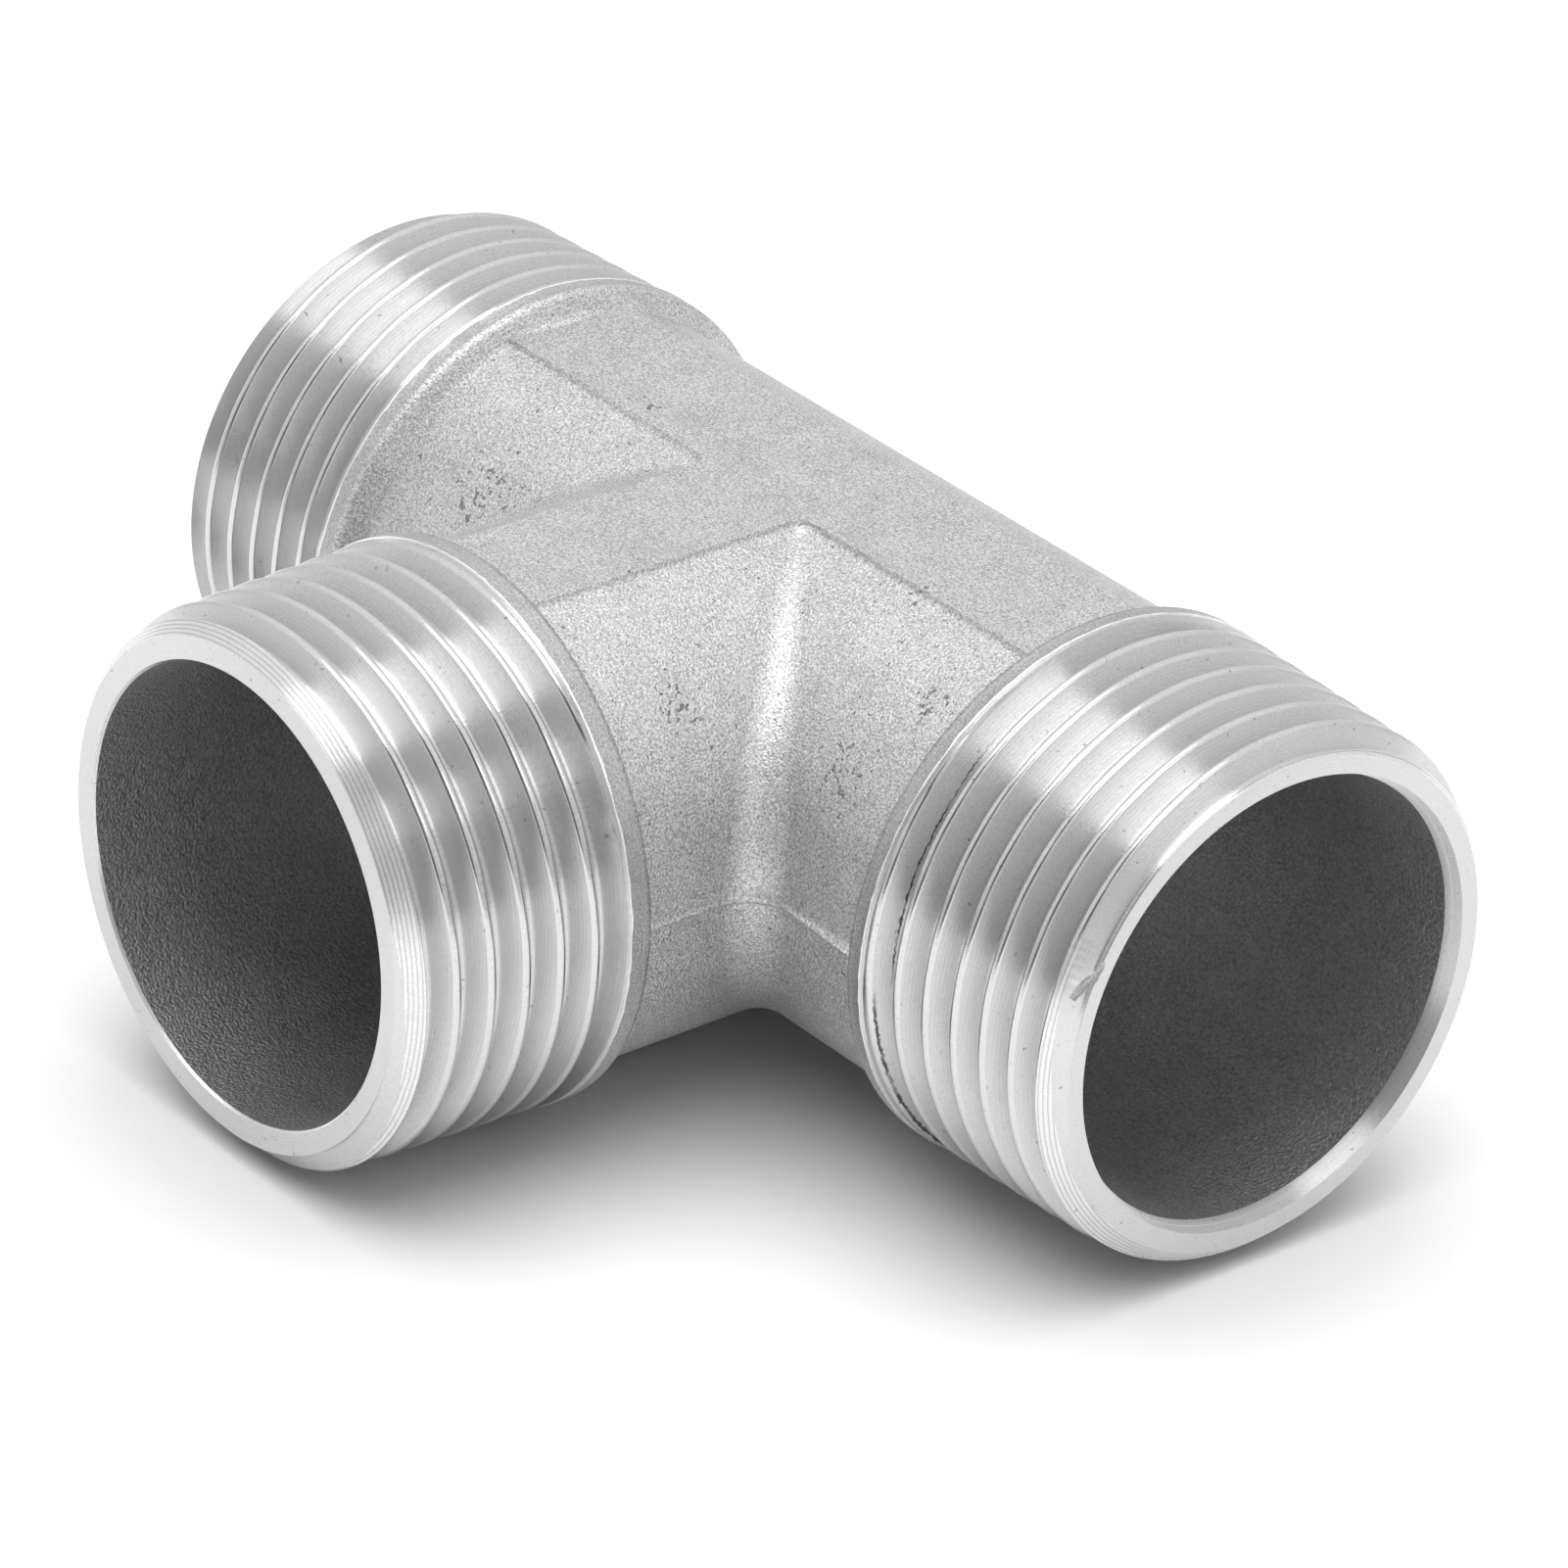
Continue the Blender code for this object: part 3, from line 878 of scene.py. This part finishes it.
def metal_finishes(finish, crossing):
    """Makes every metal that the casting wears, round the crossing of its axes in millimetres."""
    grain = grain_group()
    turning = turning_group()
    tearing = tearing_group()
    centre = crossing * MM
    cast_metal("tee_cast", finish.cast_colour, 0.48, grain, finish.grain, depth=0.000047, specks=0.33,
               pits=pitting_group(crossing), parting=centre.z)
    cast_metal("tee_ring", finish.ring_colour, 0.50, grain, finish.grain, depth=0.00004, specks=0.20)
    # This dark bore metal also serves as painted shade on the tight collar rims
    cast_metal("tee_bore_and_painted_rim_shade", finish.bore_and_painted_rim_shade_colour, 0.58, grain, 1.4 * finish.grain, depth=0.00009, specks=0.20)
    # The near-white burr metal paints a highlight along the torn lips of the rings
    cast_metal("tee_burr_highlight", finish.burr_highlight_colour, 0.40, grain, finish.grain, depth=0.00003, specks=0.05)

    # Tint and roughness against the turned metal, stretch, pitch and depth of the rings in metres,
    # and the painted shade of the lines between them; a tint over 1, on the chamfer and the mouth, is
    # painted highlight
    marks = (
        ("thread", 1.00, 1.00, 1.0, 0.00011, 0.000001, 1.0),
        ("crest", 1.00, 0.65, 0.4, 0.00011, 0.000001, 1.0),
        ("chamfer", 1.30, 1.30, 1.0, 0.00019, 0.000008, 0.70),
        ("face", 1.00, 1.00, 1.0, 0.00007, 0.000001, 0.96),
        ("mouth", 1.45, 1.60, 1.0, 0.00011, 0.000001, 0.9),
    )
    for arm, axis in (("run", (1.0, 0.0, 0.0)), ("branch", (0.0, 1.0, 0.0))):
        for part, painted_highlight_tint, dullness, stretch, pitch, depth, line in marks:
            torn = arm == "run" and part in ("thread", "crest")
            groups = (turning, tearing) if torn else (turning,)
            # A tint over 1 paints highlight onto the same turned metal
            colour = [painted_highlight_tint * level for level in finish.turned_colour]
            turned_metal(f"tee_{arm}_{part}", groups, colour, dullness * finish.turned_roughness,
                         stretch, axis, centre, pitch, depth, line, radial=part == "face")


# Stage


def paper_floor(stage):
    """The pale floor that the tee lies on."""
    bm = bmesh.new()
    bmesh.ops.create_grid(bm, x_segments=1, y_segments=1, size=3.0)
    floor = object_from("paper_floor", bm)
    paper = bpy.data.materials.new("pale_paper")
    paper.use_nodes = True
    shader = paper.node_tree.nodes["Principled BSDF"]
    shader.inputs["Base Color"].default_value = (*stage.floor_colour, 1.0)
    shader.inputs["Roughness"].default_value = 0.9
    shader.inputs["Specular IOR Level"].default_value = 0.0
    floor.data.materials.append(paper)


def studio_room(stage):
    """A pale room, brighter behind the part, with a dark board beside the camera."""
    world = bpy.data.worlds.new("studio_room")
    world.use_nodes = True
    tree = world.node_tree
    place = tree.nodes.new("ShaderNodeTexCoord")
    place.location = (-900, 0)
    look = place.outputs["Generated"]
    toward = vector_node(tree, "DOT_PRODUCT", (-700, 0), look, BRIGHT_SIDE)
    level = remap(tree, (-450, 0), toward, -0.5, -0.1, stage.room_level, stage.backdrop_level, True)
    facing = Vector((math.cos(math.radians(BOARD_TURN)), math.sin(math.radians(BOARD_TURN)), 0.0))
    ahead = vector_node(tree, "DOT_PRODUCT", (-1100, -250), look, facing)
    aside = vector_node(tree, "DOT_PRODUCT", (-1100, -450), look, (-facing.y, facing.x, 0.0))
    near = remap(tree, (-900, -250), ahead, 0.45, 0.60, 0.0, 1.0, True)
    offset = value_node(tree, "ABSOLUTE", (-900, -450), aside)
    inside = remap(tree, (-700, -450), offset, 0.20, 0.36, 1.0, 0.0, True)
    board = value_node(tree, "MULTIPLY", (-550, -350), near, inside)
    shade = remap(tree, (-400, -250), board, 0.0, 1.0, 1.0, 1.0 - stage.board_shade)
    height = split_node(tree, (-700, 250), look)["Z"]
    lift = remap(tree, (-450, 250), height, 0.2, 0.75, 0.0, stage.ceiling_lift, True)
    whole = value_node(tree, "ADD", (-320, 100), level, lift)
    strength = value_node(tree, "MULTIPLY", (-200, 0), whole, shade)
    tree.links.new(strength, tree.nodes["Background"].inputs["Strength"])
    tree.nodes["Background"].inputs["Color"].default_value = (1.0, 1.0, 1.0, 1.0)
    bpy.context.scene.world = world


def soft_lights(stage):
    """An overhead softbox, one that no metal reflects, and a leaning card at the right."""
    for name, watts, wide, deep, place, lean in (
        ("overhead_softbox", stage.overhead_power, 0.63, 0.75, (0.015, -0.155, 1.0), 0.0),
        ("floor_softbox", stage.floor_power, 1.20, 1.40, (0.06, -0.13, 1.0), 0.0),
        ("side_card", stage.card_power, 0.30, 0.60, (0.713, -0.03, 0.699), 45.6),
    ):
        lamp = bpy.data.lights.new(name, "AREA")
        lamp.shape = "RECTANGLE"
        lamp.size = wide
        lamp.size_y = deep
        lamp.energy = watts
        box = bpy.data.objects.new(name, lamp)
        box.location = place
        box.rotation_euler = (0.0, math.radians(lean), 0.0)
        box.visible_glossy = name != "floor_softbox"
        bpy.context.scene.collection.objects.link(box)


def photo_camera():
    """The camera at the photograph's angle."""
    camera = bpy.data.cameras.new("photo_camera")
    camera.lens = CAMERA_LENS
    camera.sensor_width = 36.0
    camera.sensor_fit = "HORIZONTAL"
    camera.clip_start = 0.05
    camera.clip_end = 20.0
    view = bpy.data.objects.new("photo_camera", camera)
    spot = Vector(CAMERA_PLACE)
    turn = (Vector(CAMERA_TARGET) - spot).to_track_quat("-Z", "Y").to_matrix().to_4x4()
    roll = Matrix.Rotation(math.radians(CAMERA_ROLL), 4, "Z")
    view.matrix_world = Matrix.Translation(spot) @ turn @ roll
    bpy.context.scene.collection.objects.link(view)
    bpy.context.scene.camera = view


# Operators


class TEE_OT_casting(bpy.types.Operator):
    """Model the one-piece casting with its turned threads, and finish its metal"""

    bl_idname = "tee.casting"
    bl_label = "Build casting"

    def execute(self, context):
        size = context.scene.tee_sizes
        crossing = axes_crossing(size)
        metal_finishes(context.scene.tee_finish, crossing)
        body = casting(size)
        body.data.transform(Matrix.Scale(MM, 4) @ Matrix.Translation(crossing))
        body.data.shade_smooth()
        body.data.set_sharp_from_angle(angle=math.radians(SHARP_ANGLE))
        even = body.modifiers.new("even_shading", "WEIGHTED_NORMAL")
        even.keep_sharp = True
        facets = body.modifiers.new("clean_facets", "TRIANGULATE")
        facets.quad_method = "BEAUTY"
        facets.ngon_method = "BEAUTY"
        facets.keep_custom_normals = True
        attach(body, "root")
        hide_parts("tee_body")
        return {"FINISHED"}


class TEE_OT_stage(bpy.types.Operator):
    """Set the pale floor, the soft light and the camera"""

    bl_idname = "tee.stage"
    bl_label = "Build stage"

    def execute(self, context):
        stage = context.scene.tee_stage
        paper_floor(stage)
        studio_room(stage)
        soft_lights(stage)
        photo_camera()
        context.scene.view_settings.view_transform = "Standard"
        return {"FINISHED"}


class TEE_PT_panel(bpy.types.Panel):
    """Lists the tee's sizes, colours and build steps"""

    bl_idname = "TEE_PT_panel"
    bl_label = "Male threaded tee"
    bl_space_type = "VIEW_3D"
    bl_region_type = "UI"
    bl_category = "Tee"

    def draw(self, context):
        scene = context.scene
        groups = (("Sizes", scene.tee_sizes), ("Finish", scene.tee_finish), ("Stage", scene.tee_stage))
        for title, group in groups:
            box = self.layout.box()
            box.label(text=title)
            for name in group.bl_rna.properties.keys():
                if name not in ("rna_type", "name"):
                    box.prop(group, name)
        self.layout.operator(TEE_OT_casting.bl_idname)
        self.layout.operator(TEE_OT_stage.bl_idname)


CLASSES = (TeeSizes, TeeFinish, TeeStage, TEE_OT_casting, TEE_OT_stage, TEE_PT_panel)


def register():
    """Registers the add-on's classes and settings."""
    for item in CLASSES:
        bpy.utils.register_class(item)
    bpy.types.Scene.tee_sizes = PointerProperty(type=TeeSizes)
    bpy.types.Scene.tee_finish = PointerProperty(type=TeeFinish)
    bpy.types.Scene.tee_stage = PointerProperty(type=TeeStage)


def unregister():
    """Removes them again."""
    del bpy.types.Scene.tee_sizes
    del bpy.types.Scene.tee_finish
    del bpy.types.Scene.tee_stage
    for item in reversed(CLASSES):
        bpy.utils.unregister_class(item)


def main():
    """Builds the tee and its stage."""
    register()
    bpy.ops.tee.casting()
    bpy.ops.tee.stage()


if __name__ == "__main__":
    main()
